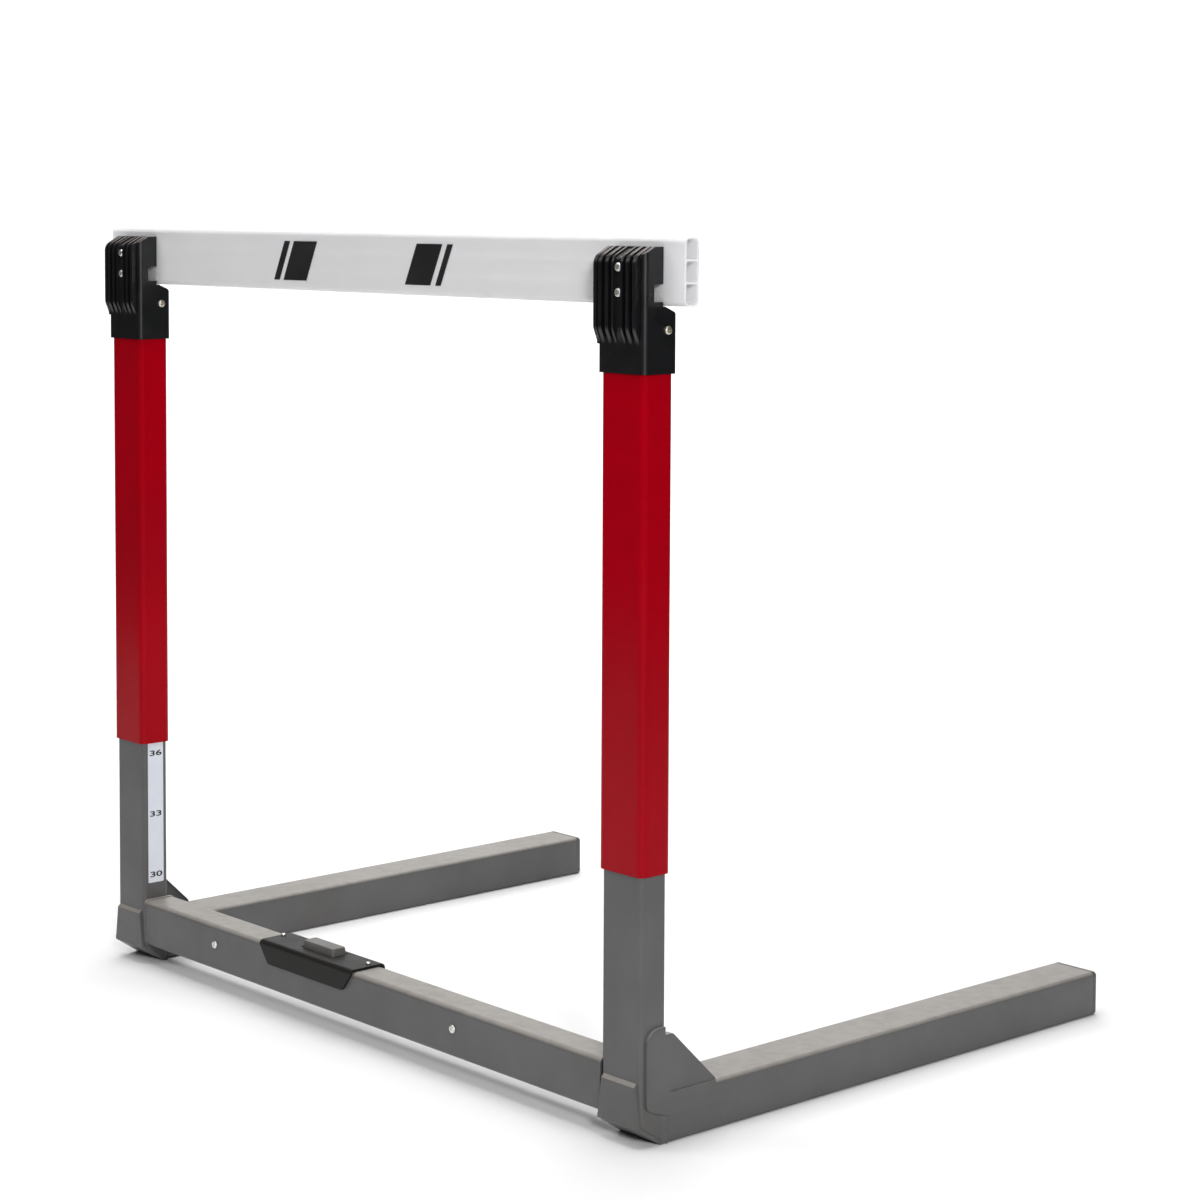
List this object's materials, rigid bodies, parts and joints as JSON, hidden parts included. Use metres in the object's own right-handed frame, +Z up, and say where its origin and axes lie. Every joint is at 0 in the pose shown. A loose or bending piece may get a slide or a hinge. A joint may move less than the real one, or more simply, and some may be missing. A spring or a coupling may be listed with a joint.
{
  "type": "track hurdle",
  "caption": "Adjustable track hurdle: a striped white board on two sleeves that slide on posts, with long floor legs and a foot pedal that frees the height lock.",
  "frame": {"origin": "Centre of the bounding box on the floor, between the two legs.", "axes": "X runs along the board, from the left post to the right post. Y runs along the legs, from the posts to the far ends of the legs. Z points up."},
  "size_m": [1.041, 0.7368, 0.9144],
  "materials": {
    "board_white": "smooth white extruded board, slightly glossy",
    "frame_grey": "grey powder coat on steel tube, fine texture",
    "gate_red": "gloss red paint on steel tube",
    "cap_black": "moulded black plastic, satin",
    "foot_grey": "moulded black plastic tube end, matt",
    "cover_black": "black coated sheet, satin",
    "button_grey": "warm grey moulded plastic",
    "bright_steel": "zinc plated steel",
    "cable_steel": "stranded steel cable",
    "dark_steel": "plain dark steel",
    "label_white": "printed self-adhesive film",
    "nylon": "natural nylon"
  },
  "bodies": {
    "frame": {"crossbar": "frame_grey", "pedal_cover": "cover_black", "height_scale": "label_white", "post_left": "frame_grey", "toe_plate_left": "frame_grey", "corner_plate_left": "frame_grey", "leg_left": "frame_grey", "leg_cap_left": "foot_grey", "post_glide_left": "nylon", "rod_guide_left": "dark_steel", "cam_pin_left": "bright_steel", "lever_pin_left": "bright_steel", "cover_rivet_left": "bright_steel", "cable_left": "cable_steel", "post_right": "frame_grey", "toe_plate_right": "frame_grey", "corner_plate_right": "frame_grey", "leg_right": "frame_grey", "leg_cap_right": "foot_grey", "post_glide_right": "nylon", "rod_guide_right": "dark_steel", "cam_pin_right": "bright_steel", "lever_pin_right": "bright_steel", "cover_rivet_right": "bright_steel", "cable_right": "cable_steel"},
    "gate": {"board": "board_white", "sleeve_left": "gate_red", "cap_left": "cap_black", "lock_bar_left": "bright_steel", "lower_board_screw_left": "bright_steel", "upper_board_screw_left": "bright_steel", "inner_cap_screw_left": "bright_steel", "outer_cap_screw_left": "bright_steel", "sleeve_right": "gate_red", "cap_right": "cap_black", "lock_bar_right": "bright_steel", "lower_board_screw_right": "bright_steel", "upper_board_screw_right": "bright_steel", "inner_cap_screw_right": "bright_steel", "outer_cap_screw_right": "bright_steel"},
    "pedal": {"pedal_button": "button_grey", "pedal_spring": "bright_steel"},
    "release_lever_left": {"release_lever_left": "dark_steel"},
    "lift_rod_left": {"lift_rod_left": "dark_steel"},
    "lock_cam_left": {"lock_cam_left": "dark_steel"},
    "counterweight_left": {"counterweight_left": "dark_steel"},
    "top_sheave_left": {"top_sheave_left": "nylon"},
    "outer_sheave_left": {"outer_sheave_left": "nylon"},
    "inner_sheave_left": {"inner_sheave_left": "nylon"},
    "end_sheave_left": {"end_sheave_left": "nylon"},
    "release_lever_right": {"release_lever_right": "dark_steel"},
    "lift_rod_right": {"lift_rod_right": "dark_steel"},
    "lock_cam_right": {"lock_cam_right": "dark_steel"},
    "counterweight_right": {"counterweight_right": "dark_steel"},
    "top_sheave_right": {"top_sheave_right": "nylon"},
    "outer_sheave_right": {"outer_sheave_right": "nylon"},
    "inner_sheave_right": {"inner_sheave_right": "nylon"},
    "end_sheave_right": {"end_sheave_right": "nylon"}
  },
  "joints": [
    {"name": "gate_height", "type": "slide", "parent": "frame", "child": "gate", "axis": [0, 0, 1], "range_m": [-0.1524, 0.1524]},
    {"name": "pedal_press", "type": "slide", "parent": "frame", "child": "pedal", "axis": [0, 0, -1], "range_m": [0, 0.005], "stiffness_N_per_m": 2000, "springref_m": -0.005, "deforming": ["pedal_spring"]},
    {"name": "release_lever_left", "type": "hinge", "parent": "frame", "child": "release_lever_left", "pos_m": [-0.269, -0.3436, 0.0565], "axis": [0, 1, 0], "range_deg": [0, 1.7]},
    {"name": "lift_rod_left", "type": "slide", "parent": "frame", "child": "lift_rod_left", "axis": [0, 0, 1], "range_m": [0, 0.0053]},
    {"name": "lock_cam_left", "type": "hinge", "parent": "frame", "child": "lock_cam_left", "pos_m": [-0.442, -0.3436, 0.39], "axis": [0, 1, 0], "range_deg": [0, 20.5]},
    {"name": "counterweight_left", "type": "slide", "parent": "frame", "child": "counterweight_left", "axis": [0, 1, 0], "range_m": [-0.1524, 0.1524]},
    {"name": "top_sheave_left", "type": "hinge", "parent": "frame", "child": "top_sheave_left", "pos_m": [-0.434, -0.3436, 0.618], "axis": [1, 0, 0], "range_deg": [-1250, 1250]},
    {"name": "outer_sheave_left", "type": "hinge", "parent": "frame", "child": "outer_sheave_left", "pos_m": [-0.434, -0.3436, 0.027], "axis": [1, 0, 0], "range_deg": [-1250, 1250]},
    {"name": "inner_sheave_left", "type": "hinge", "parent": "frame", "child": "inner_sheave_left", "pos_m": [-0.434, -0.3296, 0.041], "axis": [1, 0, 0], "range_deg": [-1250, 1250]},
    {"name": "end_sheave_left", "type": "hinge", "parent": "frame", "child": "end_sheave_left", "pos_m": [-0.434, 0.3384, 0.027], "axis": [1, 0, 0], "range_deg": [-1250, 1250]},
    {"name": "release_lever_right", "type": "hinge", "parent": "frame", "child": "release_lever_right", "pos_m": [0.186, -0.3436, 0.0565], "axis": [0, -1, 0], "range_deg": [0, 1.2]},
    {"name": "lift_rod_right", "type": "slide", "parent": "frame", "child": "lift_rod_right", "axis": [0, 0, 1], "range_m": [0, 0.0053]},
    {"name": "lock_cam_right", "type": "hinge", "parent": "frame", "child": "lock_cam_right", "pos_m": [0.442, -0.3436, 0.39], "axis": [0, -1, 0], "range_deg": [0, 20.5]},
    {"name": "counterweight_right", "type": "slide", "parent": "frame", "child": "counterweight_right", "axis": [0, 1, 0], "range_m": [-0.1524, 0.1524]},
    {"name": "top_sheave_right", "type": "hinge", "parent": "frame", "child": "top_sheave_right", "pos_m": [0.434, -0.3436, 0.618], "axis": [1, 0, 0], "range_deg": [-1250, 1250]},
    {"name": "outer_sheave_right", "type": "hinge", "parent": "frame", "child": "outer_sheave_right", "pos_m": [0.434, -0.3436, 0.027], "axis": [1, 0, 0], "range_deg": [-1250, 1250]},
    {"name": "inner_sheave_right", "type": "hinge", "parent": "frame", "child": "inner_sheave_right", "pos_m": [0.434, -0.3296, 0.041], "axis": [1, 0, 0], "range_deg": [-1250, 1250]},
    {"name": "end_sheave_right", "type": "hinge", "parent": "frame", "child": "end_sheave_right", "pos_m": [0.434, 0.3384, 0.027], "axis": [1, 0, 0], "range_deg": [-1250, 1250]}
  ],
  "couplings": [
    {"joint": "release_lever_left", "follows": "pedal_press", "rad_per_m": 5.4945},
    {"joint": "lift_rod_left", "follows": "pedal_press", "ratio": 1.0385},
    {"joint": "lock_cam_left", "follows": "pedal_press", "rad_per_m": 69.231},
    {"joint": "counterweight_left", "follows": "gate_height", "ratio": 1},
    {"joint": "top_sheave_left", "follows": "gate_height", "rad_per_m": 142.86},
    {"joint": "outer_sheave_left", "follows": "gate_height", "rad_per_m": 142.86},
    {"joint": "inner_sheave_left", "follows": "gate_height", "rad_per_m": -142.86},
    {"joint": "end_sheave_left", "follows": "gate_height", "rad_per_m": 142.86},
    {"joint": "release_lever_right", "follows": "pedal_press", "rad_per_m": 3.7736},
    {"joint": "lift_rod_right", "follows": "pedal_press", "ratio": 1.0264},
    {"joint": "lock_cam_right", "follows": "pedal_press", "rad_per_m": 68.428},
    {"joint": "counterweight_right", "follows": "gate_height", "ratio": 1},
    {"joint": "top_sheave_right", "follows": "gate_height", "rad_per_m": 142.86},
    {"joint": "outer_sheave_right", "follows": "gate_height", "rad_per_m": 142.86},
    {"joint": "inner_sheave_right", "follows": "gate_height", "rad_per_m": -142.86},
    {"joint": "end_sheave_right", "follows": "gate_height", "rad_per_m": 142.86}
  ]
}
